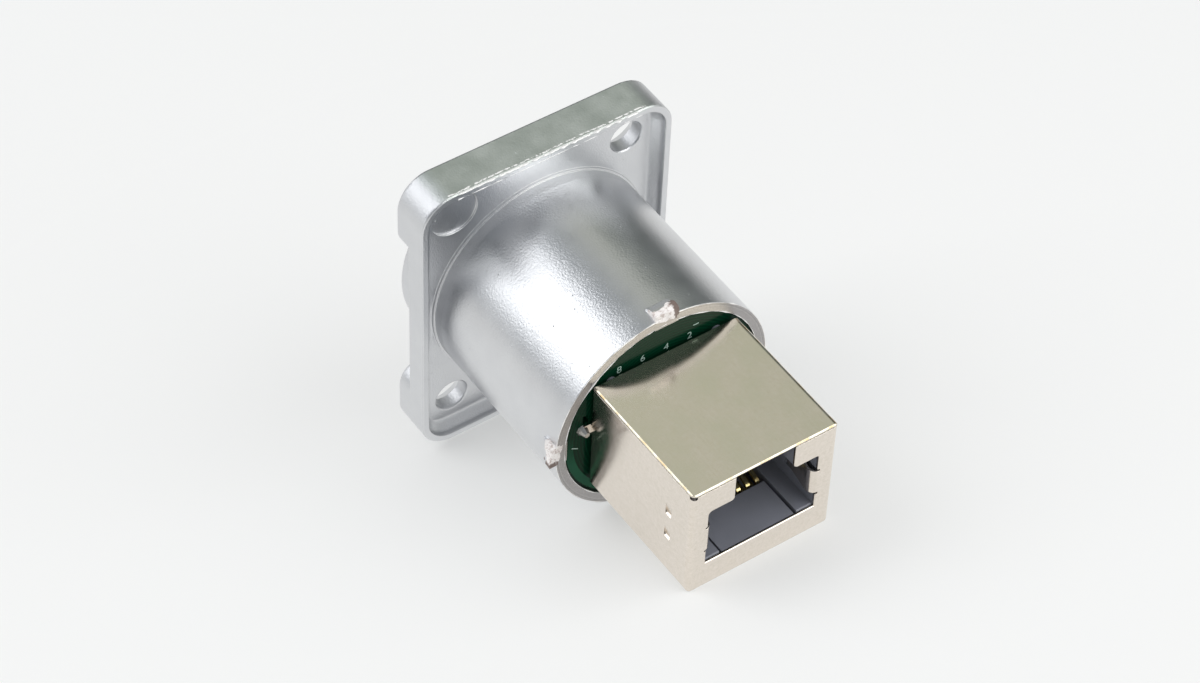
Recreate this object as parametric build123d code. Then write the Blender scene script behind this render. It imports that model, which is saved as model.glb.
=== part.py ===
"""Panel-mount feed-through network socket in a die-cast flange housing.

Sizes are in millimetres. The origin is on the body axis, in the plane of the flange's rear rim,
which seats on the front of a panel. +Y points out of the back, +X is across and +Z is up.
Two shielded jacks are soldered back to back on one round circuit board. The rear one stands
clear of the body, and the front one lies in the bore with its port at the bottom of the collar.
"""
import math
import os

from build123d import *

os.makedirs("parts", exist_ok=True)

# Flange: full thickness in a band along the top and bottom, thinner at the sides
flange_width = 27.3
flange_height = 32.6
flange_corner_radius = 3.4
flange_thickness = 4.3
flange_side_thickness = 2.2
band_inner_edge = 8.1
band_corner_radius = 2.2
flange_front_chamfer = 0.3
rim_wall = 0.7
rim_edge_break = 0.12
pocket_depth = 1.4
pocket_floor_chamfer = 0.8

# Screw holes on one diagonal, for countersunk M3 screws from the front
screw_spacing_x = 19.0
screw_spacing_z = 24.0
screw_hole_diameter = 3.4
screw_head_diameter = 6.2
screw_hole_edge_break = 0.12

# Ejector mark in the pocket floor, at a corner without a screw
ejector_mark_diameter = 5.0
ejector_mark_depth = 0.22
ejector_mark_x = 9.3
ejector_mark_z = 12.4

# Round body behind the flange and collar in front of it, just wide enough for the shields
shield_corner_clearance = 0.33
body_length = 18.6
body_wall = 1.0
root_step_width = 0.18
root_step_height = 0.3
collar_reach = 6.8
collar_mouth_chamfer = 0.4

# Ribs in the bore, which stop the insert and the board, and stakes over the board's edge
rib_width = 2.4
rib_clearance = 0.3
stake_width = 2.5
stake_reach = 0.22
turns_of_four = (0, 90, 180, 270)

# Broken casting gates on the outside of the body's end
gate_width = 2.3
gate_length = 1.7
gate_height = 0.5
gate_overhang = 0.12

# Round circuit board
board_thickness = 1.6
board_recess = 0.25
board_clearance = 0.05
pin_hole_diameter = 0.8
small_round_sides = 8

# Plastic insert that closes the bore round the front jack
insert_thickness = 2.2
insert_lead = 0.3
insert_clearance = 0.04
insert_window_clearance = 0.05

# Folded shield of a jack, the same for both, measured from the board
shield_width = 15.7
shield_height = 13.1
shield_reach = 15.55
sheet_thickness = 0.25
shield_bend_radius = 0.5
seam_width = 0.1
top_edge_break = 0.12
opening_edge_break = 0.08
corner_relief_diameter = 0.7
corner_relief_depth = 0.4
jack_standoff = 0.5
rear_jack_height = 0.63
front_jack_height = 0.0
moulding_clearance = 0.05

# Plug opening of a jack, about the jack's own axis, with the latch notch on top
plug_width = 11.9
plug_floor = -3.57
plug_height = 6.9
plug_depth = 11.8
latch_width = 6.4
opening_corner_radius = 0.4

# Side springs of the shield, which press on the plug's shield
spring_width = 2.9
spring_centre = -0.3
spring_length = 4.2
spring_inset = 0.55
spring_relief = 0.25

# Lanced dents in the side sheets, which hold the moulding
lance_height = 1.4
lance_length = 0.85
lance_from_front = 2.9
lance_spacing = 3.0
lance_centre = -0.05
lance_depth = 0.2

# Ground tabs of the shield, bent out on to the board and soldered, each beside a slot
tab_width = 1.2
tab_reach = 0.7
tab_centre = 0.85
tab_solder_radius = 0.62
tab_solder_height = 0.8
slot_width = 0.6
slot_length = 1.0
slot_margin = 0.1

# Contact carrier, which makes the middle of the plug opening's floor
carrier_width = 7.9
carrier_gap = 0.28
comb_depth = 1.72
comb_from_front = 4.8

# Floor strips at the sides of the carrier, a little above the sheet's edge
strip_rise = 0.15
strip_chamfer = 0.1

# Contacts, bent from flat wire
contact_count = 8
contact_pitch = 1.02
contact_width = 0.4
contact_thickness = 0.3
contact_bend_radius = 0.75
contact_from_front = 5.0
contact_rise_angle = 18.0
contact_tip_gap = 0.45
shoulder_height = 1.2
pin_pitch = 1.27
pin_outer_row = -5.85
pin_row_spacing = 2.54
pin_protrusion = 0.4
pin_solder_radius = 0.6
pin_solder_height = 0.34

# Standoff feet of a jack's moulding
foot_diameter = 1.1
foot_spacing = 11.43
foot_row = 5.6

# Places worked out from the sizes above
bore_radius = math.hypot(shield_width, shield_height) / 2 + shield_corner_clearance
body_radius = bore_radius + body_wall
rib_reach = shield_width / 2 + tab_reach + tab_solder_radius + rib_clearance
board_rear = body_length - board_recess
board_front = board_rear - board_thickness
insert_front = board_front - shield_reach - insert_lead
insert_rear = insert_front + insert_thickness
plug_top = plug_floor + plug_height
plug_back = shield_reach - plug_depth
moulding_half_width = shield_width / 2 - sheet_thickness - moulding_clearance
moulding_half_height = shield_height / 2 - sheet_thickness - moulding_clearance
moulding_front = shield_reach - sheet_thickness - moulding_clearance
moulding_bend_radius = shield_bend_radius - sheet_thickness
comb_floor = plug_floor - comb_depth
lance_front = shield_reach - lance_from_front
lance_places = (lance_centre - lance_spacing / 2, lance_centre + lance_spacing / 2)
contact_run = comb_floor + contact_thickness / 2


def box_between(x0, x1, y0, y1, z0, z1):
    """Box between two limits on each axis, given in either order."""
    size = (abs(x1 - x0), abs(y1 - y0), abs(z1 - z0))
    centre = ((x0 + x1) / 2, (y0 + y1) / 2, (z0 + z1) / 2)
    return Pos(*centre) * Box(*size)


def rod(radius, y0, y1, x=0.0, z=0.0):
    """Cylinder along Y."""
    return Pos(x, (y0 + y1) / 2, z) * Rot(90, 0, 0) * Cylinder(radius, y1 - y0)


def cone(radius_start, radius_end, y0, y1, x=0.0, z=0.0):
    """Cone along Y, with its first radius at y0."""
    return Pos(x, (y0 + y1) / 2, z) * Rot(-90, 0, 0) * Cone(radius_start, radius_end, y1 - y0)


def slab(outline, y0, y1):
    """Outline drawn in X and Z, thickened from y0 to y1."""
    return Pos(0, y1, 0) * extrude(Plane.XZ * outline, y1 - y0)


def small_cone(radius, height, x, z):
    """Many-sided cone that stands on Y=0 and points along -Y, half as wide at its top."""
    base = Plane.XZ * Pos(x, z) * RegularPolygon(radius, small_round_sides)
    return extrude(base, height, taper=math.degrees(math.atan2(radius / 2, height)))


def edges_at(solid, y):
    """Edges that lie in one plane across Y."""
    return solid.edges().filter_by_position(Axis.Y, y - 0.001, y + 0.001)


def flange():
    """Plate with its two bands, broken edges and rear pocket."""
    outline = RectangleRounded(flange_width, flange_height, flange_corner_radius)
    plate = slab(outline, -flange_side_thickness, 0)
    blank = slab(outline, -flange_thickness, 0)
    for side in (1, -1):
        band = Pos(0, side * (band_inner_edge + flange_height / 2)) * RectangleRounded(
            flange_width, flange_height, band_corner_radius)
        plate += blank & slab(band, -flange_thickness, 0)
    plate = chamfer(edges_at(plate, -flange_thickness), flange_front_chamfer)
    plate = chamfer(edges_at(plate, 0), rim_edge_break)

    pocket_outline = RectangleRounded(flange_width - 2 * rim_wall, flange_height - 2 * rim_wall,
                                      flange_corner_radius - rim_wall)
    pocket = slab(pocket_outline, -pocket_depth, 1)
    return plate - chamfer(edges_at(pocket, -pocket_depth), pocket_floor_chamfer)


def screw_hole(x, z):
    """Through hole, countersunk in front, with a broken edge in the pocket."""
    radius = screw_hole_diameter / 2
    head_radius = screw_head_diameter / 2
    broken = radius + screw_hole_edge_break
    hole = rod(radius, -flange_thickness - 1, 1, x, z)
    hole += cone(head_radius, radius, -flange_thickness,
                 -flange_thickness + head_radius - radius, x, z)
    return hole + cone(radius, broken, -pocket_depth - screw_hole_edge_break, -pocket_depth, x, z)


def casting_gate():
    """Rough wedge left on top of the body's end where a runner broke off."""
    profile = Polyline((-gate_length, -gate_overhang), (0, -gate_overhang), (0, gate_height),
                       (-gate_length / 2, gate_height), (-gate_length, gate_height / 4), close=True)
    wedge = extrude(Plane.YZ * make_face(profile), gate_width / 2, both=True)
    return Pos(0, body_length, body_radius) * wedge


def bore_features():
    """Four ribs along the bore and four stakes over the board, on the same lines."""
    rib = box_between(-rib_width / 2, rib_width / 2, insert_rear, board_front,
                      rib_reach, bore_radius + body_wall / 2)
    stake = box_between(-stake_width / 2, stake_width / 2, board_rear, body_length,
                        bore_radius - stake_reach, bore_radius + body_wall / 2)
    return [Rot(0, turn, 0) * piece for turn in turns_of_four for piece in (rib, stake)]


def housing():
    """Die-cast flange, collar and tube in one piece."""
    solid = flange() + rod(body_radius, -collar_reach, body_length)
    solid += rod(body_radius + root_step_width, -pocket_depth, -pocket_depth + root_step_height)
    for turn in (0, 90):
        solid += Rot(0, turn, 0) * casting_gate()
    solid -= rod(bore_radius, -collar_reach - 1, body_length + 1)
    solid -= cone(bore_radius + collar_mouth_chamfer, bore_radius, -collar_reach,
                  -collar_reach + collar_mouth_chamfer)
    for piece in bore_features():
        solid += piece
    for side in (1, -1):
        solid -= screw_hole(-side * screw_spacing_x / 2, side * screw_spacing_z / 2)
    return solid - rod(ejector_mark_diameter / 2, -pocket_depth - ejector_mark_depth,
                       -pocket_depth + ejector_mark_depth, ejector_mark_x, ejector_mark_z)


def front_insert():
    """Plastic disc round the front jack's shield."""
    window = Pos(0, front_jack_height) * Rectangle(shield_width + 2 * insert_window_clearance,
                                                   shield_height + 2 * insert_window_clearance)
    disc = rod(bore_radius - insert_clearance, insert_front, insert_rear)
    return disc - slab(window, insert_front - 1, insert_rear + 1)


def pin_places():
    """Pins in a jack's own frame, in two staggered rows."""
    return [((i - (contact_count - 1) / 2) * pin_pitch, pin_outer_row + i % 2 * pin_row_spacing)
            for i in range(contact_count)]


def circuit_board():
    """Round board with a hole for each pin of both jacks and a slot beside each rear tab."""
    board = rod(bore_radius - board_clearance, board_front, board_rear)
    for x, z in pin_places():
        for row in (z + rear_jack_height, front_jack_height - z):
            hole = Pos(x, row) * RegularPolygon(pin_hole_diameter / 2, small_round_sides)
            board -= slab(hole, board_front - 1, board_rear + 1)
    slot_start = rear_jack_height + tab_centre + tab_width / 2 + slot_margin
    for side in (1, -1):
        wall = side * (shield_width / 2 + slot_margin)
        board -= box_between(wall, wall + side * slot_width, board_front - 1, board_rear + 1,
                             slot_start, slot_start + slot_length)
    return board


def plug_outline():
    """Plug opening with its latch notch, which runs up to the top sheet."""
    half = plug_width / 2
    notch = latch_width / 2
    top = shield_height / 2 - sheet_thickness
    face = make_face(Polyline((-half, plug_floor), (half, plug_floor), (half, plug_top),
                              (notch, plug_top), (notch, top), (-notch, top),
                              (-notch, plug_top), (-half, plug_top), close=True))
    corners = face.vertices().filter_by_position(Axis.Y, plug_top - 0.001, plug_top + 0.001)
    return fillet(corners, opening_corner_radius)


def bent_box(half_width, half_height, front, bend_radius):
    """Box from the standoff to the front, bent at its sides; its top bends at -X alone."""
    box = box_between(-half_width, half_width, jack_standoff, front, -half_height, half_height)
    uprights = box.edges().filter_by(Axis.Z).group_by(Axis.Y)[-1]
    bottom_bends = box.edges().group_by(Axis.Z)[0].filter_by(Axis.Y)
    top_bend = box.edges().group_by(Axis.Z)[-1].filter_by(Axis.Y).sort_by(Axis.X)[:1]
    return fillet(uprights + bottom_bends + top_bend, bend_radius)


def corner_cut(across, up, size):
    """Outline that cuts an upper corner off at 45 degrees."""
    return make_face(Polyline((across - size - 1, up + 1), (across + 1, up - size - 1),
                              (across + 1, up + 1), close=True))


def side_spring(side):
    """Leaf that curls from the front sheet back into the plug opening."""
    root = plug_width / 2 + spring_relief
    tip = plug_width / 2 - spring_inset
    end = shield_reach - spring_length
    centre = (root, shield_reach - (root - tip))
    outer = CenterArc(centre, root - tip, 90, 90)
    inner = CenterArc(centre, root - tip - sheet_thickness, 90, 90)
    leaf = make_face([outer, inner, Line(outer @ 0, inner @ 0),
                      Polyline(outer @ 1, (root - sheet_thickness, end), (root, end), inner @ 1)])
    solid = Pos(0, 0, spring_centre) * extrude(leaf, spring_width / 2, both=True)
    return solid if side > 0 else mirror(solid, Plane.YZ)


def spring_room(side, y0):
    """Space round the side spring, in the sheet or in the moulding."""
    reach = spring_width / 2 + spring_relief
    return box_between(side * plug_width / 4, side * (plug_width / 2 + spring_relief),
                       y0, shield_reach + 1, spring_centre - reach, spring_centre + reach)


def lance_dent(side, centre, sink):
    """Wedge pressed into the side sheet, deepest near its lower end, sunk from the outside."""
    wall = shield_width / 2 - sink
    low = centre - lance_height / 2
    outline = Polyline((side * wall, centre + lance_height / 2), (side * wall, low),
                       (side * (wall - lance_depth), low + lance_depth), close=True)
    wedge = extrude(Plane.XZ * make_face(outline), lance_length)
    return Pos(0, lance_front, 0) * wedge


def lance_pocket(side, centre):
    """Room in the moulding for the back of a dent."""
    inner = shield_width / 2 - sheet_thickness
    return box_between(side * inner, side * (inner - lance_depth - moulding_clearance),
                       lance_front - lance_length, lance_front,
                       centre - lance_height / 2, centre + lance_height / 2)


def ground_tab(side):
    """Leg of the side sheet down to the board, with its foot bent out."""
    z0 = tab_centre - tab_width / 2
    z1 = tab_centre + tab_width / 2
    inner = side * (shield_width / 2 - sheet_thickness)
    wall = side * shield_width / 2
    toe = side * (shield_width / 2 + tab_reach)
    return (box_between(inner, wall, 0, jack_standoff, z0, z1)
            + box_between(inner, toe, 0, sheet_thickness, z0, z1))


def jack_shield():
    """Folded sheet shield: open at the board, with the plug opening in front."""
    shell = bent_box(shield_width / 2, shield_height / 2, shield_reach, shield_bend_radius)
    shell -= slab(corner_cut(shield_width / 2, shield_height / 2, top_edge_break),
                  0, shield_reach + 1)
    shell -= extrude(Plane.YZ * corner_cut(shield_reach, shield_height / 2, top_edge_break),
                     shield_width, both=True)
    shell -= bent_box(shield_width / 2 - sheet_thickness, shield_height / 2 - sheet_thickness,
                      shield_reach - sheet_thickness, moulding_bend_radius)
    shell -= slab(plug_outline(), shield_reach - 1, shield_reach + 1)
    shell -= extrude(Plane.XZ * Pos(0, 0, opening_edge_break - shield_reach) * plug_outline(),
                     -opening_edge_break, taper=-45)
    seam_top = shield_height / 2 - sheet_thickness
    shell -= box_between(-shield_width, shield_width, shield_reach - shield_bend_radius,
                         shield_reach + 1, seam_top - seam_width, seam_top)
    shell -= box_between(shield_width / 2 - shield_bend_radius, shield_width, 0,
                         shield_reach + 1, seam_top - seam_width, seam_top)
    relief = Cylinder(corner_relief_diameter / 2, corner_relief_depth)
    shell -= Pos(shield_width / 2 - shield_bend_radius / 2, shield_reach - shield_bend_radius / 2,
                 seam_top - corner_relief_depth / 2) * relief
    for side in (1, -1):
        shell -= spring_room(side, shield_reach - 1)
        shell += side_spring(side)
        for centre in lance_places:
            shell += lance_dent(side, centre, sheet_thickness)
            shell -= lance_dent(side, centre, 0)
        shell += ground_tab(side)
    return shell


def carrier_room(gap):
    """Space of the contact carrier: under the floor and behind the plug opening."""
    half = carrier_width / 2 + gap
    low = box_between(-half, half, jack_standoff, moulding_front, -moulding_half_height, plug_floor)
    back = box_between(-half, half, jack_standoff, plug_back, -moulding_half_height, plug_top)
    return low + back


def floor_strip(side):
    """Raised floor beside the carrier, with its front edge broken."""
    strip = box_between(side * (carrier_width / 2 + carrier_gap), side * plug_width / 2,
                        plug_back, moulding_front, plug_floor, plug_floor + strip_rise)
    front_edge = strip.edges().filter_by(Axis.X).group_by(Axis.Y)[-1].sort_by(Axis.Z)[-1:]
    return chamfer(front_edge, strip_chamfer)


def jack_body(contacts):
    """Plastic moulding round the plug opening and the outer contacts, with two feet."""
    body = bent_box(moulding_half_width, moulding_half_height, moulding_front,
                    moulding_bend_radius)
    body -= slab(plug_outline(), plug_back, shield_reach + 1)
    body -= carrier_room(carrier_gap)
    for side in (1, -1):
        body -= spring_room(side, shield_reach - spring_length - spring_relief)
        for centre in lance_places:
            body -= lance_pocket(side, centre)
        body += floor_strip(side)
        body += rod(foot_diameter / 2, 0, jack_standoff + foot_diameter / 2,
                    side * foot_spacing / 2, foot_row)
    for wire in contacts:
        body -= wire
    return body


def contact(i):
    """Flat wire: pin, shoulder, run under the floor, bend and rising spring."""
    x_pin, z_pin = pin_places()[i]
    x = (i - (contact_count - 1) / 2) * contact_pitch
    half = contact_thickness / 2
    side = contact_width / 2
    shoulder = jack_standoff + shoulder_height
    centre = (shield_reach - contact_from_front - contact_bend_radius - half,
              contact_run + contact_bend_radius)
    turn = 180 - contact_rise_angle
    outer = CenterArc(centre, contact_bend_radius + half, -90, turn)
    inner = CenterArc(centre, contact_bend_radius - half, -90, turn)
    rise = math.radians(contact_rise_angle)
    length = ((outer @ 1).X - plug_back - contact_tip_gap) / math.cos(rise)
    along = Vector(-math.cos(rise), math.sin(rise)) * length
    tail = Line((shoulder - half, contact_run + half), (shoulder - half, contact_run - half))
    strip = make_face([
        tail, Line(tail @ 1, outer @ 0), outer, Line(outer @ 1, outer @ 1 + along),
        Line(outer @ 1 + along, inner @ 1 + along), Line(inner @ 1 + along, inner @ 1), inner,
        Line(inner @ 0, tail @ 0)])
    wire = Pos(x, 0, 0) * extrude(Plane.YZ * strip, side, both=True)
    y0 = shoulder - half
    y1 = shoulder + half
    low, high = sorted((z_pin, contact_run))
    left, right = sorted((x_pin, x))
    wire += box_between(x - side, x + side, y0, y1, low - half, high + half)
    wire += box_between(left - side, right + side, y0, y1, z_pin - half, z_pin + half)
    return wire + box_between(x_pin - side, x_pin + side, -board_thickness - pin_protrusion,
                              y1, z_pin - half, z_pin + half)


def contact_carrier(contacts):
    """Plastic carrier with an open comb, moulded round the contacts."""
    carrier = carrier_room(0)
    half = carrier_width / 2 + carrier_gap
    carrier -= box_between(-half, half, plug_back, shield_reach - comb_from_front,
                           comb_floor, plug_floor + 1)
    for wire in contacts:
        carrier -= wire
    return carrier


def pin_solder():
    """Cones of solder round a jack's pins, on the far side of the board."""
    cones = []
    for x, z in pin_places():
        joint = Pos(0, -board_thickness, 0) * small_cone(pin_solder_radius,
                                                         pin_solder_height, x, z)
        cones.append(joint - box_between(
            x - contact_width / 2, x + contact_width / 2, -board_thickness - 1, 0,
            z - contact_thickness / 2, z + contact_thickness / 2))
    return Part() + cones


def tab_solder():
    """Mound of solder over the toe of each ground tab."""
    mounds = []
    for side in (1, -1):
        toe = side * (shield_width / 2 + tab_reach)
        mound = mirror(small_cone(tab_solder_radius, tab_solder_height, toe, tab_centre),
                       Plane.XZ)
        mounds.append(mound - ground_tab(side))
    return Part() + mounds


def write(name, piece):
    """Write one piece under its node's name."""
    piece.label = name
    export_step(piece, f"parts/{name}.step")


def main():
    write("housing", housing())
    write("front_insert", front_insert())
    write("circuit_board", circuit_board())
    contacts = [contact(i) for i in range(contact_count)]
    pieces = {"jack_shield": jack_shield(), "jack_body": jack_body(contacts),
              "contact_carrier": contact_carrier(contacts), "pin_solder": pin_solder(),
              "tab_solder": tab_solder()}
    for i, wire in enumerate(contacts):
        pieces[f"contact_{i + 1}"] = wire
    seats = {"rear": Pos(0, board_rear, rear_jack_height),
             "front": Pos(0, board_front, front_jack_height) * Rot(180, 0, 0)}
    for end, seat in seats.items():
        for name, piece in pieces.items():
            write(f"{end}_{name}", seat * piece)


main()
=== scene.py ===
# %% [markdown]
# # A feed-through network socket on a white table
#
# The construction comes packed, in millimetre-true solids. This file gives those solids their
# finishes, adds the small marks that a factory leaves on such a part, and lights the whole.
# The frame is loaded first, so that every new piece can take its place from it.

# %% Load the frame
import math

import bmesh
import bpy
from mathutils import Matrix, Vector, noise


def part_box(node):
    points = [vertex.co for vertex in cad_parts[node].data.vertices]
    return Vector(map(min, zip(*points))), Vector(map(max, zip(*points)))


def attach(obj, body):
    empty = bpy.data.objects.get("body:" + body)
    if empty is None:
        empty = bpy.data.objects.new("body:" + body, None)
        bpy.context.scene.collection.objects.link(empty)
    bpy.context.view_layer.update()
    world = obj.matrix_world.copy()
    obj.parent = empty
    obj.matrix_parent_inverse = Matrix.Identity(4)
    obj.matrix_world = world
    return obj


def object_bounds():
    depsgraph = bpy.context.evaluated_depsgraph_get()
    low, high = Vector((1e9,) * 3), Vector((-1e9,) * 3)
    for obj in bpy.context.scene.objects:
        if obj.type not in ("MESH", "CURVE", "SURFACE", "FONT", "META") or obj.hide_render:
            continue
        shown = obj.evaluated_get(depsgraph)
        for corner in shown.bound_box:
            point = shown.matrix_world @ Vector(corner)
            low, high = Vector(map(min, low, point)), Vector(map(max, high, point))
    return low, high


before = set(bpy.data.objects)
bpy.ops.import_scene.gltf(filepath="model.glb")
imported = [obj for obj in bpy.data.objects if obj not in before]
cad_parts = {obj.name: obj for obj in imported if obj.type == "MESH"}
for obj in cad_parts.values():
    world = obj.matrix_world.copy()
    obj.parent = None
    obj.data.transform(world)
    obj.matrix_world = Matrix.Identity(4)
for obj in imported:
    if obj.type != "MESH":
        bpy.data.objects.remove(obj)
MM = 0.001
cad_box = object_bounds()
size_mm = [round(side / MM, 2) for side in cad_box[1] - cad_box[0]]
print("nodes:", len(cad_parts), "box in mm:", size_mm)

# %% [markdown]
# ## The camera comes first
#
# On a real set the camera is placed before anything else, because it decides what the lights have
# to do. This one was fitted to the corners of the flange and the jack: a long lens, looking down
# from behind at about 48 degrees. A long lens keeps the jack's edges nearly parallel.

# %% Camera
CAMERA_PLACE = Vector((136.55, 193.01, 250.58)) * MM
SIGHT_POINT = Vector((-1.70, 6.55, -3.84)) * MM
CAMERA_ROLL = math.radians(2.68)
LENS_MM = 111.34

camera = bpy.data.objects.new("camera", bpy.data.cameras.new("camera"))
bpy.context.scene.collection.objects.link(camera)
camera.data.sensor_width = 36
camera.data.lens = LENS_MM
camera.data.clip_start = 10 * MM
camera.data.clip_end = 10
aim = (CAMERA_PLACE - SIGHT_POINT).to_track_quat("Z", "Y").to_matrix().to_4x4()
camera.matrix_world = Matrix.Translation(CAMERA_PLACE) @ aim @ Matrix.Rotation(CAMERA_ROLL, 4, "Z")
bpy.context.scene.camera = camera
print("camera is", round((CAMERA_PLACE - SIGHT_POINT).length / MM), "mm away")

# %% [markdown]
# ## Helpers for the finishes
#
# Colours are picked as sRGB hex values, the way a screen shows them, but shaders work in linear
# light, so one function turns them over. One small function adds any shader node with its
# settings and links, and gives back the output that is used. A material starts with the object's
# own coordinates in millimetres, so that a pattern's scale can be a real size.

# %% Helpers for materials
def linear(hex_colour):
    """sRGB hex text to a linear RGBA colour."""
    values = [int(hex_colour[i:i + 2], 16) / 255 for i in (1, 3, 5)]
    return [v / 12.92 if v <= 0.04045 else ((v + 0.055) / 1.055) ** 2.4 for v in values] + [1.0]


def add_node(tree, kind, inputs, output=0, **settings):
    """Adds one shader node. Each input is a value or another node's output."""
    node = tree.nodes.new("ShaderNode" + kind)
    for name, value in settings.items():
        setattr(node, name, value)
    for name, value in inputs.items():
        if isinstance(value, bpy.types.NodeSocket):
            tree.links.new(value, node.inputs[name])
        else:
            node.inputs[name].default_value = value
    return node.outputs[output]


def start_material(name, **shader_values):
    """A material with its shader's plain values, its tree and its coordinates in millimetres."""
    material = bpy.data.materials.new(name)
    material.use_nodes = True
    tree = material.node_tree
    for socket, value in shader_values.items():
        tree.nodes["Principled BSDF"].inputs[socket.replace("_", " ")].default_value = value
    place = add_node(tree, "TexCoord", {}, "Object")
    in_mm = add_node(tree, "Mapping", {"Vector": place, "Scale": (1 / MM,) * 3})
    return material, tree, in_mm


def connect(tree, **outputs):
    """Joins node outputs to the inputs of a material's Principled shader."""
    for socket, output in outputs.items():
        tree.links.new(output, tree.nodes["Principled BSDF"].inputs[socket.replace("_", " ")])


def dress(material, *nodes):
    """Gives CAD nodes a material, in their own slots."""
    for name in nodes:
        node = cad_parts[name]
        if not node.material_slots:
            node.data.materials.append(material)
        for slot in node.material_slots:
            slot.material = material
    print(material.name, "on", ", ".join(nodes))


# %% [markdown]
# ## Satin nickel on a zinc die casting
#
# The housing is cast in zinc and plated with satin nickel. The plating is a soft mirror: it shows
# the softbox as a broad blurred band. The casting under it is never smooth, so the edge of that
# band breaks into fine grains, with a small pip here and there. Edges are painted lighter, a
# painted highlight where the rounded edges catch the softbox, and the flange's upper front edge is
# painted darker, a painted dark reflection. Flash was trimmed along the flange's top, and a row of
# crumbs is left of it. The flange's outside was handled, so it is dull all round, and its top face
# is painted a
# darker, greenish grey, mottled at random: a painted reflection of the room. The floor of the
# pocket is sheltered and mirrors the tube more clearly. The foot of the pocket's walls is a soft
# hollow. The end of the tube was cut, in fine rings.

# %% Material of the housing
# Places on the casting
HOUSING_HIGH_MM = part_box("housing")[1] / MM
END_OF_TUBE_MM = HOUSING_HIGH_MM.y
TOP_EDGE_MM = HOUSING_HIGH_MM.z
FRONT_OF_FLANGE_MM = -4.3
BELOW_RIM_MM = 0.04
RIM_WALL_MM = 0.7
WALL_SKIN_MM = 0.1

# The casting's skin
GRAIN_MM = 0.2
GRAIN_DEPTH_MM = 0.03
SWELL_MM = 2.6
PIP_SPACING_MM = 1.2
PIP_MM = 0.08
ROUNDED_EDGE_MM = 0.14
HOLLOW_MM = 0.6
HOLLOW_REACH_MM = (1.4, 1.0)

# The flange's top: crumbs, a painted greenish reflection and a painted dark front edge
TOP_SKIN_MM = 0.03
CRUMB_MM = 0.2
CRUMB_LINE_MM = -0.32
CRUMB_ROW_MM = 0.08
WANDER_MM = 0.4
TOP_TONE_FADE_MM = 0.4
FRONT_EDGE_MM = (0.36, 0.35)

# The cut end and the roughness
CUT_SKIN_MM = (0.06, 0.02)
CUT_ROUGHNESS = 0.45
HANDLED_ROUGHER = 0.15

plated, tree, in_mm = start_material("satin_nickel_casting")
grain = add_node(tree, "TexNoise", {"Vector": in_mm, "Scale": 1 / GRAIN_MM, "Detail": 2.0})
swell = add_node(tree, "TexNoise", {"Vector": in_mm, "Scale": 1 / SWELL_MM, "Detail": 3.0})
along = add_node(tree, "SeparateXYZ", {"Vector": in_mm}, "Y")
upward = add_node(tree, "SeparateXYZ", {"Vector": in_mm}, "Z")
in_flange = add_node(tree, "Math", {0: along, 1: -BELOW_RIM_MM}, operation="LESS_THAN")
cut_end = add_node(tree, "MapRange", {"Value": along, "From Min": END_OF_TUBE_MM - CUT_SKIN_MM[0],
                                      "From Max": END_OF_TUBE_MM - CUT_SKIN_MM[1]})

# The hollow at the foot of the pocket's walls: a wider rounding, only near those walls
outward = add_node(tree, "VectorMath", {0: in_mm}, "Vector", operation="ABSOLUTE")
to_wall = add_node(tree, "VectorMath", {0: outward, 1: HOUSING_HIGH_MM}, "Vector",
                   operation="SUBTRACT")
wall_x = add_node(tree, "SeparateXYZ", {"Vector": to_wall}, "X")
wall_z = add_node(tree, "SeparateXYZ", {"Vector": to_wall}, "Z")
wall = add_node(tree, "Math", {0: wall_x, 1: wall_z}, operation="MAXIMUM")
inside = add_node(tree, "Math", {0: wall, 1: WALL_SKIN_MM - RIM_WALL_MM},
                  operation="LESS_THAN")
near_wall = add_node(tree, "MapRange", {"Value": wall,
                                        "From Min": -RIM_WALL_MM - HOLLOW_REACH_MM[0],
                                        "From Max": -RIM_WALL_MM - HOLLOW_REACH_MM[1]})
in_pocket = add_node(tree, "Math", {0: in_flange, 1: inside}, operation="MULTIPLY")
hollow = add_node(tree, "Math", {0: in_pocket, 1: near_wall}, operation="MULTIPLY")
rounded = add_node(tree, "Bevel", {"Radius": ROUNDED_EDGE_MM * MM}, samples=8)
hollowed = add_node(tree, "Bevel", {"Radius": HOLLOW_MM * MM}, samples=8)
surface = add_node(tree, "Mix", {0: hollow, 4: rounded, 5: hollowed}, 1, data_type="VECTOR")

# Painted highlight on the edges: the colour is made lighter where the rounding turns the surface
# away from the flat face
facing = add_node(tree, "NewGeometry", {}, "Normal")
turned = add_node(tree, "VectorMath", {0: rounded, 1: facing}, "Value", operation="DOT_PRODUCT")
edges = add_node(tree, "MapRange", {"Value": turned, "From Min": 1.0, "From Max": 0.8})

# Crumbs of flash on the flange's top, in a row that wanders a little
on_top = add_node(tree, "Math", {0: upward, 1: TOP_EDGE_MM - TOP_SKIN_MM},
                  operation="GREATER_THAN")
wander = add_node(tree, "Math", {0: swell, 1: WANDER_MM, 2: along}, operation="MULTIPLY_ADD")
row = add_node(tree, "Math", {0: wander, 1: CRUMB_LINE_MM + WANDER_MM / 2, 2: CRUMB_ROW_MM},
               operation="COMPARE")
lumps = add_node(tree, "TexNoise", {"Vector": in_mm, "Scale": 1 / CRUMB_MM, "Detail": 1.0})
lump = add_node(tree, "MapRange", {"Value": lumps, "From Min": 0.44, "From Max": 0.5})
row_on_top = add_node(tree, "Math", {0: on_top, 1: row}, operation="MULTIPLY")
crumb = add_node(tree, "Math", {0: row_on_top, 1: lump}, operation="MULTIPLY")

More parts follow.
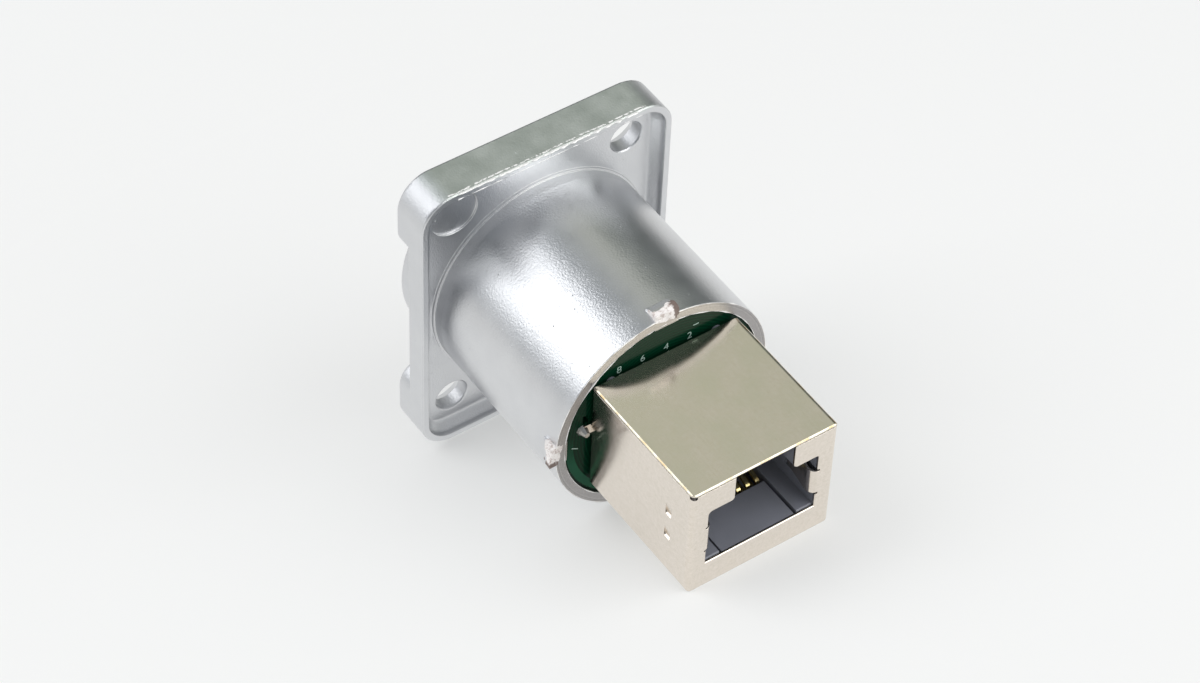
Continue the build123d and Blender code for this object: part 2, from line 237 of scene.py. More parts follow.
# Painted dark reflection: the flange's upper front edge is painted darker, as polished edges mirror
# the dark room
high = add_node(tree, "Math", {0: upward, 1: TOP_EDGE_MM - FRONT_EDGE_MM[1]},
                operation="GREATER_THAN")
front = add_node(tree, "Math", {0: along, 1: FRONT_OF_FLANGE_MM + FRONT_EDGE_MM[0]},
                 operation="LESS_THAN")
front_edge = add_node(tree, "Math", {0: high, 1: front}, operation="MULTIPLY")

# The end of the tube, in rings
flattened = add_node(tree, "Mapping", {"Vector": in_mm, "Scale": (1.0, 0.0, 1.0)})
radius = add_node(tree, "VectorMath", {0: flattened}, "Value", operation="LENGTH")
rings = add_node(tree, "TexNoise", {"W": radius, "Scale": 8.0, "Detail": 2.0},
                 noise_dimensions="1D")
scored = add_node(tree, "Mix", {0: 0.5, 2: grain, 3: rings})
raw_end = add_node(tree, "Mix", {0: scored, 6: linear("#6f6c6c"), 7: linear("#d2cfce")}, 2,
                   data_type="RGBA")

# Colour: cloudy nickel, a painted darker greenish reflection on the flange's top, a painted dark
# reflection on its front edge, the cut end, a painted highlight on the edges, and the crumbs
cloudy = add_node(tree, "Mix", {0: swell, 6: linear("#cccdd0"), 7: linear("#dcdddf")}, 2,
                  data_type="RGBA")
# Painted reflection: the flange's top face is painted a darker, greenish grey, mottled at random,
# for the room that it mirrors
topmost = add_node(tree, "MapRange", {"Value": upward, "From Min": TOP_EDGE_MM - TOP_TONE_FADE_MM,
                                      "From Max": TOP_EDGE_MM})
top_mottle = add_node(tree, "MapRange", {"Value": swell, "From Min": 0.34, "From Max": 0.66})
top_reflection_tone = add_node(tree, "Mix", {0: top_mottle, 6: linear("#c2c9c5"), 7: linear("#d9dedb")}, 2,
                   data_type="RGBA")
topped = add_node(tree, "Mix", {0: topmost, 6: cloudy, 7: top_reflection_tone}, 2, data_type="RGBA")
# Painted dark reflection on the flange's upper front edge
edged = add_node(tree, "Mix", {0: front_edge, 6: topped, 7: linear("#8b8f92")}, 2,
                 data_type="RGBA")
bare = add_node(tree, "Mix", {0: cut_end, 6: edged, 7: raw_end}, 2, data_type="RGBA")
# Painted highlight: the edges are lightened
painted_edge_highlight = add_node(tree, "Mix", {0: edges, 6: bare, 7: linear("#e9e9e9")}, 2, data_type="RGBA")
colour = add_node(tree, "Mix", {0: crumb, 6: painted_edge_highlight, 7: linear("#fbfbfa")}, 2, data_type="RGBA")
metal = add_node(tree, "Mix", {0: crumb, 2: 1.0, 3: 0.2})

# Roughness: satin, duller where the flange was handled, and dull on the cut end
satin = add_node(tree, "MapRange", {"Value": swell, "From Min": 0.3, "From Max": 0.7,
                                    "To Min": 0.28, "To Max": 0.34})
backward = add_node(tree, "SeparateXYZ", {"Vector": facing}, "Y")
sheltered = add_node(tree, "Math", {0: in_pocket, 1: backward}, operation="MULTIPLY",
                     use_clamp=True)
handled = add_node(tree, "Math", {0: in_flange, 1: sheltered}, operation="SUBTRACT")
duller = add_node(tree, "Math", {0: handled, 1: HANDLED_ROUGHER, 2: satin},
                  operation="MULTIPLY_ADD")
roughness = add_node(tree, "Mix", {0: cut_end, 2: duller, 3: CUT_ROUGHNESS})

# Relief: the casting's grain, with the pips on it
cells = add_node(tree, "TexVoronoi", {"Vector": in_mm, "Scale": 1 / PIP_SPACING_MM}, "Distance")
pips = add_node(tree, "MapRange", {"Value": cells, "From Min": PIP_MM / PIP_SPACING_MM,
                                   "From Max": 0.2 * PIP_MM / PIP_SPACING_MM})
relief = add_node(tree, "Math", {0: pips, 1: 1.2, 2: grain}, operation="MULTIPLY_ADD")
pebbles = add_node(tree, "Bump", {"Height": relief, "Distance": GRAIN_DEPTH_MM * MM,
                                  "Strength": 0.9, "Normal": surface})
connect(tree, Base_Color=colour, Metallic=metal, Roughness=roughness, Normal=pebbles)
dress(plated, "housing")

# %% [markdown]
# ## Bright nickel on folded sheet
#
# The shields are folded from copper-alloy sheet that was plated before it was cut. The faces are
# a warm bright nickel with a faint rolled grain along the sheet and fine rub marks. The top face is
# painted with cloudy, slightly green patches: their tone varies at random, and their greenish tint
# on the top alone is a painted reflection of the room. The cut edges show the golden alloy in
# places, which is why a broken gold line runs along the open seams at the top.

# %% Material of the shields
TOP_OF_JACK_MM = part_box("rear_jack_shield")[1].z / MM
FOLD_MM = 0.07
ROLLED_MM = 0.16
RUB_MM = 0.35
RIPPLE_MM = 0.9
RIPPLE_DEPTH_MM = 0.008
CLOUD_MM = 3.2
CLOUD_FADE_MM = (0.3, 0.1)
CLOUD_SHARE = 0.5
SEAM_MM = 0.12
SEAM_BELOW_TOP_MM = 0.005

sheet, tree, in_mm = start_material("bright_nickel_sheet", Metallic=1.0)
drawn_out = add_node(tree, "Mapping", {"Vector": in_mm, "Scale": (1.0, 0.08, 1.0)})
rolled = add_node(tree, "TexNoise", {"Vector": drawn_out, "Scale": 1 / ROLLED_MM, "Detail": 2.0})
ripple = add_node(tree, "TexNoise", {"Vector": in_mm, "Scale": 1 / RIPPLE_MM, "Detail": 3.0})
rubs = add_node(tree, "TexNoise", {"Vector": in_mm, "Scale": 1 / RUB_MM, "Detail": 5.0,
                                   "Roughness": 0.7})
mixed = add_node(tree, "Mix", {0: 0.8, 2: rolled, 3: rubs})
mottled = add_node(tree, "MapRange", {"Value": mixed, "From Min": 0.3, "From Max": 0.7})
tone = add_node(tree, "Mix", {0: mottled, 6: linear("#dcd3c6"), 7: linear("#eae1d8")}, 2,
                data_type="RGBA")

# Painted reflection: cloudy, greenish patches on the top face alone, varying at random
height = add_node(tree, "SeparateXYZ", {"Vector": in_mm}, "Z")
clouds = add_node(tree, "TexNoise", {"Vector": in_mm, "Scale": 1 / CLOUD_MM, "Detail": 3.0})
cloudy = add_node(tree, "MapRange", {"Value": clouds, "From Min": 0.2, "From Max": 0.66})
topmost = add_node(tree, "MapRange", {"Value": height,
                                      "From Min": TOP_OF_JACK_MM - CLOUD_FADE_MM[0],
                                      "From Max": TOP_OF_JACK_MM - CLOUD_FADE_MM[1],
                                      "To Max": CLOUD_SHARE})
handled = add_node(tree, "Math", {0: cloudy, 1: topmost}, operation="MULTIPLY")
greenish_top_reflection = add_node(tree, "Mix", {0: handled, 6: tone, 7: linear("#d3d3be")}, 2, data_type="RGBA")

# The golden alloy in the cut edges, just below the top face
seam_middle = TOP_OF_JACK_MM - SEAM_BELOW_TOP_MM - SEAM_MM / 2
seam = add_node(tree, "Math", {0: height, 1: seam_middle, 2: SEAM_MM / 2}, operation="COMPARE")
patches = add_node(tree, "MapRange", {"Value": ripple, "From Min": 0.42, "From Max": 0.66})
bare_alloy = add_node(tree, "Math", {0: seam, 1: patches}, operation="MULTIPLY")
tinted = add_node(tree, "Mix", {0: bare_alloy, 6: greenish_top_reflection, 7: linear("#c4ad86")}, 2,
                  data_type="RGBA")
polish = add_node(tree, "MapRange", {"Value": rubs, "From Min": 0.3, "From Max": 0.7,
                                     "To Min": 0.15, "To Max": 0.23})
rounded = add_node(tree, "Bevel", {"Radius": FOLD_MM * MM}, samples=8)
relief = add_node(tree, "Math", {0: rolled, 1: 0.3, 2: ripple}, operation="MULTIPLY_ADD")
waviness = add_node(tree, "Bump", {"Height": relief, "Distance": RIPPLE_DEPTH_MM * MM,
                                   "Strength": 0.5, "Normal": rounded})
connect(tree, Base_Color=tinted, Roughness=polish, Normal=waviness)
dress(sheet, "rear_jack_shield", "front_jack_shield")

# %% [markdown]
# ## Moulded plastics
#
# The jack's body and its contact carrier are moulded in a slate grey nylon, with the very fine
# spark-eroded grain of the mould. The insert in the collar is the same kind of plastic in black.
# Plastic isn't metal, so its colour comes from below a weak clear reflection.

# %% Materials of the mouldings
ERODED_MM = 0.12
ERODED_DEPTH_MM = 0.008
FLOW_MM = 3.0


def moulded(name, dark, light):
    """Grained plastic: two close tones, and a bump of the mould's grain."""
    material, tree, in_mm = start_material(name, IOR=1.53)
    eroded = add_node(tree, "TexNoise", {"Vector": in_mm, "Scale": 1 / ERODED_MM, "Detail": 3.0})
    flow = add_node(tree, "TexNoise", {"Vector": in_mm, "Scale": 1 / FLOW_MM})
    tone = add_node(tree, "Mix", {0: flow, 6: linear(dark), 7: linear(light)}, 2,
                    data_type="RGBA")
    matt = add_node(tree, "MapRange", {"Value": eroded, "From Min": 0.2, "From Max": 0.8,
                                       "To Min": 0.42, "To Max": 0.56})
    grained = add_node(tree, "Bump", {"Height": eroded, "Distance": ERODED_DEPTH_MM * MM,
                                      "Strength": 0.5})
    connect(tree, Base_Color=tone, Roughness=matt, Normal=grained)
    return material


dress(moulded("slate_nylon", "#74777f", "#80838e"), "rear_jack_body", "rear_contact_carrier",
      "front_jack_body", "front_contact_carrier")
dress(moulded("black_nylon", "#18181a", "#222224"), "front_insert")

# %% [markdown]
# ## Solder mask over glass-fibre laminate
#
# The board is green because of its solder mask, a glossy lacquer over copper and glass cloth.
# Where copper lies under the lacquer it looks lighter, and bare laminate looks darker. Here a
# lighter band of copper runs round the board near its edge, lighter towards the bottom and fading
# out towards the top, and fine tracks run round inside it.

# %% Material of the board
COPPER_BAND_MM = (9.5, 10.3)
COPPER_FADE_MM = (1.0, -3.0)
TRACK_PITCH_MM = 0.36
TRACK_EDGE = (0.22, 0.3)
TRACK_DEPTH_MM = 0.015

lacquer, tree, in_mm = start_material("green_solder_mask", Roughness=0.22,
                                      Specular_IOR_Level=0.05)
upward = add_node(tree, "SeparateXYZ", {"Vector": in_mm}, "Z")
flattened = add_node(tree, "Mapping", {"Vector": in_mm, "Scale": (1.0, 0.0, 1.0)})
radius = add_node(tree, "VectorMath", {0: flattened}, "Value", operation="LENGTH")
band = add_node(tree, "Math", {0: radius, 1: sum(COPPER_BAND_MM) / 2,
                               2: (COPPER_BAND_MM[1] - COPPER_BAND_MM[0]) / 2},
                operation="COMPARE")
# The band is lighter towards the bottom and fades out towards the top
lower = add_node(tree, "MapRange", {"Value": upward, "From Min": COPPER_FADE_MM[0],
                                    "From Max": COPPER_FADE_MM[1]})
copper = add_node(tree, "Math", {0: band, 1: lower}, operation="MULTIPLY")
phase = add_node(tree, "Math", {0: radius, 1: TRACK_PITCH_MM / 2}, operation="PINGPONG")
tracks = add_node(tree, "MapRange", {"Value": phase, "From Min": TRACK_PITCH_MM * TRACK_EDGE[0],
                                     "From Max": TRACK_PITCH_MM * TRACK_EDGE[1]})
laminate = add_node(tree, "Mix", {0: tracks, 6: linear("#05291a"), 7: linear("#063220")}, 2,
                    data_type="RGBA")
green = add_node(tree, "Mix", {0: copper, 6: laminate, 7: linear("#1b573e")}, 2,
                 data_type="RGBA")
raised = add_node(tree, "Math", {0: tracks, 1: copper}, operation="MAXIMUM")
steps = add_node(tree, "Bump", {"Height": raised, "Distance": TRACK_DEPTH_MM * MM,
                                "Strength": 0.4})
connect(tree, Base_Color=green, Normal=steps)
dress(lacquer, "circuit_board")

# %% [markdown]
# ## Gold wire and tin solder
#
# The contacts are spring wire with a thin gold plating, drawn and polished, so they stay nearly
# mirror-like. Solder freezes with a slightly crystalline skin: bright, but broken up.

# %% Materials of the contacts and the solder
DRAWN_MM = 0.5
CRYSTAL_MM = 0.3
CRYSTAL_DEPTH_MM = 0.03

gold, tree, in_mm = start_material("gold_plated_wire", Metallic=1.0)
drawn = add_node(tree, "TexNoise", {"Vector": in_mm, "Scale": 1 / DRAWN_MM})
tone = add_node(tree, "Mix", {0: drawn, 6: linear("#cdb56c"), 7: linear("#f0e2ae")}, 2,
                data_type="RGBA")
polish = add_node(tree, "MapRange", {"Value": drawn, "From Min": 0.3, "From Max": 0.7,
                                     "To Min": 0.14, "To Max": 0.24})
connect(tree, Base_Color=tone, Roughness=polish)
wires = [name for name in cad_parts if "_contact_" in name and not name.endswith("carrier")]
dress(gold, *wires)

tin, tree, in_mm = start_material("frozen_tin_solder", Metallic=1.0)
crystals = add_node(tree, "TexNoise", {"Vector": in_mm, "Scale": 1 / CRYSTAL_MM, "Detail": 4.0})
tone = add_node(tree, "Mix", {0: crystals, 6: linear("#5d5a55"), 7: linear("#e9e7e1")}, 2,
                data_type="RGBA")
skin = add_node(tree, "MapRange", {"Value": crystals, "From Min": 0.3, "From Max": 0.7,
                                   "To Min": 0.2, "To Max": 0.38})
frozen = add_node(tree, "Bump", {"Height": crystals, "Distance": CRYSTAL_DEPTH_MM * MM,
                                 "Strength": 0.7})
connect(tree, Base_Color=tone, Roughness=skin, Normal=frozen)
dress(tin, *[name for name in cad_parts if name.endswith("solder")])

# %% [markdown]
# ## Helpers for new pieces
#
# Every added piece starts in a bmesh and ends as one mesh at the origin, with its place in its
# vertices, as the imported nodes have. It rides on the one body and gets the material it is given.
# Two things would differ from run to run: Blender seeds its vector noise from the clock, and an
# extrusion leaves its faces in no fixed order. So a seed is set here, and each piece's vertices
# and faces are sorted along one slanting line.

# %% Finish a piece
NOISE_SEED = 1
SORTING_LINE = Vector((1.0, 0.1, 0.01))
noise.seed_set(NOISE_SEED)


def finish_piece(name, bm, material, smooth=True):
    """Turns a bmesh into a piece of the object."""
    bmesh.ops.recalc_face_normals(bm, faces=bm.faces[:])
    bm.verts.sort(key=lambda vert: vert.co.dot(SORTING_LINE))
    bm.faces.sort(key=lambda face: face.calc_center_median().dot(SORTING_LINE))
    mesh = bpy.data.meshes.new(name)
    bm.to_mesh(mesh)
    bm.free()
    mesh.materials.append(material)
    mesh.polygons.foreach_set("use_smooth", [smooth] * len(mesh.polygons))
    piece = bpy.data.objects.new(name, mesh)
    bpy.context.scene.collection.objects.link(piece)
    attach(piece, "root")
    print(name, "has", len(mesh.polygons), "faces")
    return piece


def roughen(verts, size_mm, depth_mm):
    """Moves vertices by a noise vector, in lumps of one size."""
    for vert in verts:
        vert.co += noise.noise_vector(vert.co / (size_mm * MM)) * depth_mm * MM


# %% [markdown]
# ## Broken casting gates
#
# The metal ran into the mould through two small gates at the end of the tube, and the gates were
# snapped off. What is left is raw zinc: pale, granular and never plated. One side of each is
# painted darker, a painted shade on the side turned from the light. Each one starts as a box over
# the stub, is cut into small faces, drawn out into a wedge and then pushed about by noise, first in
# lumps and then in grains.

# %% Gates
TUBE_RADIUS_MM = 11.55
GATE_WIDTH_MM = 2.45
GATE_LENGTH_MM = 1.4
GATE_RISE_MM = 0.6
GATE_PROUD_MM = 0.06
GATE_LAP_MM = (0.8, 0.15)
GATE_CUTS = 9
LUMPS_MM = ((0.9, 0.16), (0.3, 0.06))
FRACTURE_MM = 0.35
FRACTURE_DEPTH_MM = 0.05
SHADED_SIDE_MM = (-0.15, -0.35)

raw_zinc, tree, in_mm = start_material("raw_broken_zinc", Metallic=0.1)
broken = add_node(tree, "TexNoise", {"Vector": in_mm, "Scale": 1 / FRACTURE_MM, "Detail": 5.0,
                                     "Roughness": 0.6})
cracks = add_node(tree, "MapRange", {"Value": broken, "From Min": 0.36, "From Max": 0.5})
# Painted shade: the gate is painted darker towards -X on the top gate and towards -Z on the side
# gate
across = add_node(tree, "SeparateXYZ", {"Vector": in_mm}, "X")
upward = add_node(tree, "SeparateXYZ", {"Vector": in_mm}, "Z")
sideways = add_node(tree, "Math", {0: across, 1: upward}, operation="MINIMUM")
frayed = add_node(tree, "Math", {0: broken, 1: 0.9, 2: sideways}, operation="MULTIPLY_ADD")
shaded_side = add_node(tree, "MapRange", {"Value": frayed, "From Min": SHADED_SIDE_MM[0],
                                     "From Max": SHADED_SIDE_MM[1]})
pale = add_node(tree, "Mix", {0: cracks, 6: linear("#cfc3bf"), 7: linear("#fdf9f7")}, 2,
                data_type="RGBA")
tone = add_node(tree, "Mix", {0: shaded_side, 6: pale, 7: linear("#7a6b65")}, 2, data_type="RGBA")
dull = add_node(tree, "MapRange", {"Value": broken, "From Min": 0.3, "From Max": 0.7,
                                   "To Min": 0.42, "To Max": 0.62})
jagged = add_node(tree, "Bump", {"Height": broken, "Distance": FRACTURE_DEPTH_MM * MM,
                                 "Strength": 0.7})
connect(tree, Base_Color=tone, Roughness=dull, Normal=jagged)


def broken_gate(name, turn):
    """A granular wedge over one gate stub, on top of the tube or turned to its side."""
    bm = bmesh.new()
    bmesh.ops.create_cube(bm, size=1.0)
    bmesh.ops.subdivide_edges(bm, edges=bm.edges[:], cuts=GATE_CUTS, use_grid_fill=True)
    bmesh.ops.translate(bm, vec=(0.5, 0.5, 0.5), verts=bm.verts[:])
    for vert in bm.verts:
        side, back, up = vert.co
        # The top climbs from two fifths of its height at the front to all of it halfway back
        top = GATE_RISE_MM * min(1.0, 0.4 + 1.2 * back)
        foot = -(GATE_LAP_MM[0] + (GATE_LAP_MM[1] - GATE_LAP_MM[0]) * side)
        vert.co = Vector(((side - 0.5) * GATE_WIDTH_MM,
                          END_OF_TUBE_MM + GATE_PROUD_MM - (1 - back) * GATE_LENGTH_MM,
                          TUBE_RADIUS_MM + foot + (top - foot) * up)) * MM
    for size_mm, depth_mm in LUMPS_MM:
        roughen(bm.verts[:], size_mm, depth_mm)
    bmesh.ops.rotate(bm, matrix=Matrix.Rotation(turn, 3, "Y"), verts=bm.verts[:])
    return finish_piece(name, bm, raw_zinc, smooth=False)


broken_gate("top_gate", 0.0)
broken_gate("side_gate", math.radians(90))

# %% [markdown]
# ## Trimmed flash along the parting line
#
# Molten zinc creeps between the halves of the mould. The thin fin that it leaves is trimmed by
# hand, and a crumbly bright line stays behind, most of all on the flange's top rear edge. The cut
# at the tube's end leaves a finer burr on both its edges. Each is a bead: a small circle extruded
# step by step along the edge, with its thickness varied by noise and nearly nothing in the gaps.

# %% Flash lines
FLASH_GRAIN_MM = 0.3
THINNEST = 0.1
CLUMPING = 2.2
FLASH_STEP_MM = 0.1
FLASH_START_MM = 9.8
BORE_RADIUS_MM = 10.55
BURR_STEPS = 480


def bead(name, first_mm, step, count, radius_mm, clump_mm, gaps):
    """A crumbly bead that starts at a point and repeats one step. More gaps thin it out."""
    bm = bmesh.new()
    start = Matrix.Translation(Vector(first_mm) * MM) @ Matrix.Rotation(math.radians(90), 4, "Y")
    bmesh.ops.create_circle(bm, cap_ends=True, segments=6, radius=radius_mm * MM, matrix=start)
    front = bm.edges[:]
    centre = Vector(first_mm) * MM
    rings = [(centre.copy(), list(bm.verts))]
    for _ in range(count):
        made = bmesh.ops.extrude_edge_only(bm, edges=front)["geom"]
        verts = [item for item in made if isinstance(item, bmesh.types.BMVert)]
        front = [item for item in made if isinstance(item, bmesh.types.BMEdge)
                 and all(vert in verts for vert in item.verts)]
        bmesh.ops.transform(bm, matrix=step, verts=verts)
        centre = step @ centre
        rings.append((centre.copy(), verts))
    bmesh.ops.holes_fill(bm, edges=front, sides=0)
    for centre, verts in rings:
        clump = max(THINNEST, 1.0 - gaps + CLUMPING * noise.noise(centre / (clump_mm * MM)))
        for vert in verts:
            vert.co = centre + (vert.co - centre) * clump
    roughen(bm.verts[:], FLASH_GRAIN_MM, radius_mm / 3)
    for vert in bm.verts:
        vert.co.z = min(vert.co.z, TOP_EDGE_MM * MM)
    return finish_piece(name, bm, bright_zinc)


bright_zinc, tree, in_mm = start_material("bright_trimmed_flash", Metallic=0.45)
crumbs = add_node(tree, "TexNoise", {"Vector": in_mm, "Scale": 1 / FLASH_GRAIN_MM,
                                     "Detail": 3.0})
tone = add_node(tree, "Mix", {0: crumbs, 6: linear("#f1f0ee"), 7: linear("#ffffff")}, 2,
                data_type="RGBA")
skin = add_node(tree, "MapRange", {"Value": crumbs, "From Min": 0.3, "From Max": 0.7,
                                   "To Min": 0.3, "To Max": 0.5})
connect(tree, Base_Color=tone, Roughness=skin)
across = Matrix.Translation((-FLASH_STEP_MM * MM, 0, 0))
around = Matrix.Rotation(math.tau / BURR_STEPS, 4, "Y")
# Each bead's name, first point, step, number of steps, radius, length of a clump and share of gaps
BEADS = (
    ("rim_flash", (FLASH_START_MM, -0.02, TOP_EDGE_MM - 0.08), across, 194, 0.1, 0.6, -0.1),
    ("pocket_flash", (FLASH_START_MM, 0.0, TOP_EDGE_MM - 0.68), across, 200, 0.035, 0.9, 0.3),
    ("outer_burr", (0, END_OF_TUBE_MM, TUBE_RADIUS_MM - 0.02), around, BURR_STEPS - 1,
     0.04, 1.1, 0.2),
    ("inner_burr", (0, END_OF_TUBE_MM, BORE_RADIUS_MM + 0.02), around, BURR_STEPS - 1,
     0.04, 1.3, 0.3),
)
for settings in BEADS:
    bead(*settings)

# %% [markdown]
# ## Marks printed on the board
#
# A board carries white ink marks, screen printed on the lacquer: the numbers 2, 4, 6 and 8 beside
# the outer row of pins, and two short dashes. Text is turned into a mesh before it is put in place,
# which is a hair above the lacquer and readable from behind.

# %% Board print
BOARD_FACE_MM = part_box("circuit_board")[1].y / MM
INK_MM = 0.02
SCREEN_MM = 0.1
DASH_WIDTH_MM = 0.1
DASHES = ((9.3, -0.6, 0.8, -31), (-3.46, 8.31, 0.6, 0))
NUMBER_HEIGHT_MM = 0.85
FONT_PER_HEIGHT = 1.4
STROKE_TRIM_MM = 0.012
NUMBERS = {"8": 4.8, "6": 2.26, "4": -0.28, "2": -2.82}
NUMBER_ROW_MM = 6.82

ink, tree, in_mm = start_material("white_screen_print", Roughness=0.6)
screen = add_node(tree, "TexNoise", {"Vector": in_mm, "Scale": 1 / SCREEN_MM, "Detail": 2.0})
tone = add_node(tree, "Mix", {0: screen, 6: linear("#86aa9c"), 7: linear("#cfe2da")}, 2,
                data_type="RGBA")
connect(tree, Base_Color=tone)
FACING_BACK = Matrix(((-1, 0, 0, 0), (0, 0, 1, 0), (0, 1, 0, 0), (0, 0, 0, 1)))


def printed_text(bm, text, x_mm, z_mm):
    """Adds one printed number to a bmesh."""
    curve = bpy.data.curves.new(text, "FONT")
    curve.body = text
    curve.size = NUMBER_HEIGHT_MM * FONT_PER_HEIGHT * MM
    curve.align_x = "CENTER"
    curve.extrude = INK_MM * MM
    curve.resolution_u = 3
    curve.offset = -STROKE_TRIM_MM * MM
    holder = bpy.data.objects.new(text, curve)
    mesh = bpy.data.meshes.new_from_object(holder)
    mesh.transform(Matrix.Translation(Vector((x_mm, BOARD_FACE_MM, z_mm)) * MM) @ FACING_BACK)
    bm.from_mesh(mesh)
    bpy.data.objects.remove(holder)
    bpy.data.meshes.remove(mesh)


def printed_dash(bm, x_mm, z_mm, length_mm, turn_degrees):
    """Adds one printed dash to a bmesh, turned in the plane of the board."""
    made = bmesh.ops.create_cube(bm, size=1.0)["verts"]
    bmesh.ops.scale(bm, vec=Vector((length_mm, 2 * INK_MM, DASH_WIDTH_MM)) * MM, verts=made)
    turn = Matrix.Rotation(math.radians(turn_degrees), 3, "Y")
    bmesh.ops.rotate(bm, matrix=turn, verts=made)
    bmesh.ops.translate(bm, vec=Vector((x_mm, BOARD_FACE_MM, z_mm)) * MM, verts=made)


bm = bmesh.new()
for text, x_mm in NUMBERS.items():
    printed_text(bm, text, x_mm, NUMBER_ROW_MM)
for x_mm, z_mm, length_mm, turn_degrees in DASHES:
    printed_dash(bm, x_mm, z_mm, length_mm, turn_degrees)
finish_piece("board_print", bm, ink, smooth=False)

# %% [markdown]
# ## The table
#
# The socket lies on a white table, resting on the flange's lower edge and on the lower front edge
# of the rear jack. In the part's own frame that makes the table lean by about 17 degrees. The
# table fades out round the part, into a background of the same white, so its edge never shows. In
# the metal it is mirrored a little darker close to the part, and evenly white farther away.

# %% Table
REST_FLANGE = Vector((0, 0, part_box("housing")[0].z))
jack_low, jack_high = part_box("rear_jack_shield")
REST_JACK = Vector((0, jack_high.y, jack_low.z))
TABLE_LEAN = math.atan2(REST_JACK.z - REST_FLANGE.z, REST_JACK.y - REST_FLANGE.y)
TABLE_RADIUS_MM = 190
TABLE_FADE = (0.45, 0.98)
EVEN_TO_CAMERA = 0.42
EVEN_IN_METAL = (0.68, 1.0)
CLOSE_MM = (12, 34)
TABLE_WHITE = linear("#f4f5f5")

table_paint, tree, in_mm = start_material("white_table")
distance = add_node(tree, "VectorMath", {0: in_mm}, "Value", operation="LENGTH")
fade = add_node(tree, "MapRange", {"Value": distance,
                                   "From Min": TABLE_RADIUS_MM * TABLE_FADE[0],
                                   "From Max": TABLE_RADIUS_MM * TABLE_FADE[1]})
matt = add_node(tree, "BsdfDiffuse", {"Color": linear("#f0f1f1")})
white = add_node(tree, "Emission", {"Color": linear("#f9faf9")})
seen = add_node(tree, "LightPath", {}, "Is Camera Ray")
mirrored = add_node(tree, "LightPath", {}, "Is Glossy Ray")
to_camera = add_node(tree, "Math", {0: seen, 1: EVEN_TO_CAMERA}, operation="MULTIPLY")
in_metal = add_node(tree, "MapRange", {"Value": distance, "From Min": CLOSE_MM[0],
                                       "From Max": CLOSE_MM[1], "To Min": EVEN_IN_METAL[0],
                                       "To Max": EVEN_IN_METAL[1]})
flat_white = add_node(tree, "Math", {0: mirrored, 1: in_metal, 2: to_camera},
                      operation="MULTIPLY_ADD")
top = add_node(tree, "MixShader", {0: flat_white, 1: matt, 2: white})
under = add_node(tree, "NewGeometry", {}, "Backfacing")
gone = add_node(tree, "Math", {0: fade, 1: under}, operation="MAXIMUM")
clear = add_node(tree, "BsdfTransparent", {})
shown = add_node(tree, "MixShader", {0: gone, 1: top, 2: clear})
tree.links.new(shown, tree.nodes["Material Output"].inputs["Surface"])

bm = bmesh.new()
bmesh.ops.create_circle(bm, cap_ends=True, segments=96, radius=TABLE_RADIUS_MM * MM)
lean = Matrix.Rotation(TABLE_LEAN, 4, "X")
mesh = bpy.data.meshes.new("table")
bm.to_mesh(mesh)
bm.free()
mesh.materials.append(table_paint)
table = bpy.data.objects.new("table", mesh)
table.matrix_world = Matrix.Translation((REST_FLANGE + REST_JACK) / 2) @ lean
bpy.context.scene.collection.objects.link(table)
print("the table leans", round(math.degrees(TABLE_LEAN), 1), "degrees")

# %% [markdown]
# ## Light
#
# Metal is mostly a picture of its surroundings. One softbox stands on the left and draws the
# broad white band down the tube. A larger one stands high behind the camera, to its right, and
# lights the upper rear edges and the inside of the plug opening. The rest of the room is a dim
# greenish grey with soft bands, which is what the flange's top face shows. Two of its corners are
# darker, for the dim streak right of the tube's crest. Below the horizon all is the white table.

# %% World and lamps
SOFTBOXES = {
    "left_softbox": (Vector((0.58, -0.54, 0.57)), 0.6, (0.46, 0.54), 1.35),
    "rear_softbox": (Vector((-0.45, 0.58, 0.68)), 0.6, (0.58, 0.5), 1.9),
}
ROOM_BANDS = ((-0.95, "#7b837e"), (-0.84, "#7b837e"), (-0.76, "#bfc5bf"), (-0.63, "#8a928b"),
              (-0.40, "#d7d8cc"), (-0.12, "#a2a7a9"), (0.30, "#a8adb2"), (0.9, "#949aa0"))
HORIZON = (-0.06, 0.04)
DARK_CORNERS = (0.29, 0.41)
AMBIENT = 0.6

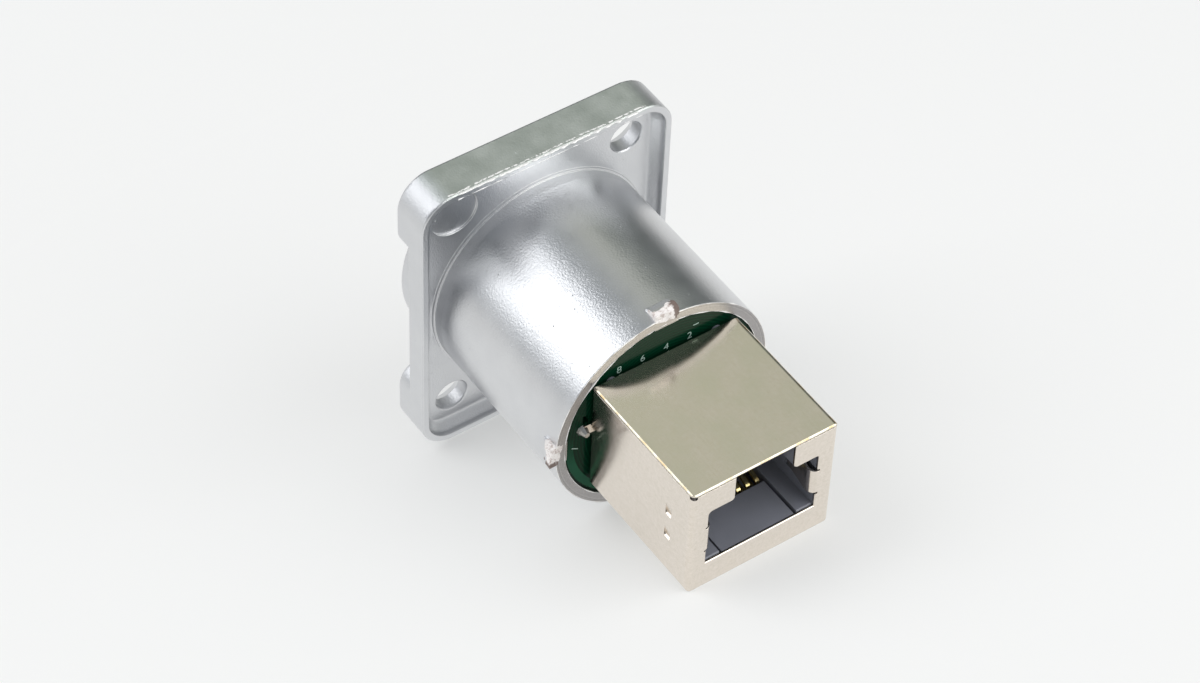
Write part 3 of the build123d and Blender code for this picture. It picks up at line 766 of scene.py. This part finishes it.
world = bpy.data.worlds.new("room")
bpy.context.scene.world = world
world.use_nodes = True
tree = world.node_tree
direction = add_node(tree, "TexCoord", {}, "Generated")
across = add_node(tree, "SeparateXYZ", {"Vector": direction}, "X")
upward = add_node(tree, "SeparateXYZ", {"Vector": direction}, "Z")
sideways = add_node(tree, "MapRange", {"Value": across, "From Min": -1.0, "From Max": 1.0})
walls = add_node(tree, "ValToRGB", {"Fac": sideways})
stops = walls.node.color_ramp.elements
for index, (place, colour) in enumerate(ROOM_BANDS):
    stop = stops[index] if index < 2 else stops.new(1.0)
    stop.position = (place + 1) / 2
    stop.color = linear(colour)
above = add_node(tree, "MapRange", {"Value": upward, "From Min": HORIZON[0],
                                    "From Max": HORIZON[1]})
depth = add_node(tree, "SeparateXYZ", {"Vector": direction}, "Y")
cornerwise = add_node(tree, "Math", {0: across, 1: depth}, operation="MULTIPLY")
corners = add_node(tree, "MapRange", {"Value": cornerwise, "From Min": DARK_CORNERS[0],
                                      "From Max": DARK_CORNERS[1]})
darker = add_node(tree, "Mix", {0: corners, 6: walls, 7: linear("#434849")}, 2,
                  data_type="RGBA")
room = add_node(tree, "Mix", {0: above, 6: linear("#f2f2f0"), 7: darker}, 2, data_type="RGBA")
background = add_node(tree, "Background", {"Color": TABLE_WHITE, "Strength": 1.0})
reflected = add_node(tree, "Background", {"Color": room, "Strength": 1.0})
ambient = add_node(tree, "Background", {"Color": linear("#ffffff"), "Strength": AMBIENT})
seen = add_node(tree, "LightPath", {}, "Is Camera Ray")
mirrored = add_node(tree, "LightPath", {}, "Is Glossy Ray")
light = add_node(tree, "MixShader", {0: mirrored, 1: ambient, 2: reflected})
whole = add_node(tree, "MixShader", {0: seen, 1: light, 2: background})
tree.links.new(whole, tree.nodes["World Output"].inputs["Surface"])


def softbox(name, side, distance, size, power):
    """A rectangular area lamp that looks at the part from one side."""
    lamp = bpy.data.lights.new(name, "AREA")
    lamp.shape = "RECTANGLE"
    lamp.size, lamp.size_y = size
    lamp.energy = power
    holder = bpy.data.objects.new(name, lamp)
    place = SIGHT_POINT + side.normalized() * distance
    holder.matrix_world = (Matrix.Translation(place)
                           @ side.to_track_quat("Z", "Y").to_matrix().to_4x4())
    bpy.context.scene.collection.objects.link(holder)


for name, (side, distance, size, power) in SOFTBOXES.items():
    softbox(name, side, distance, size, power)
bpy.context.scene.view_settings.view_transform = "Standard"
print("lamps:", *SOFTBOXES)
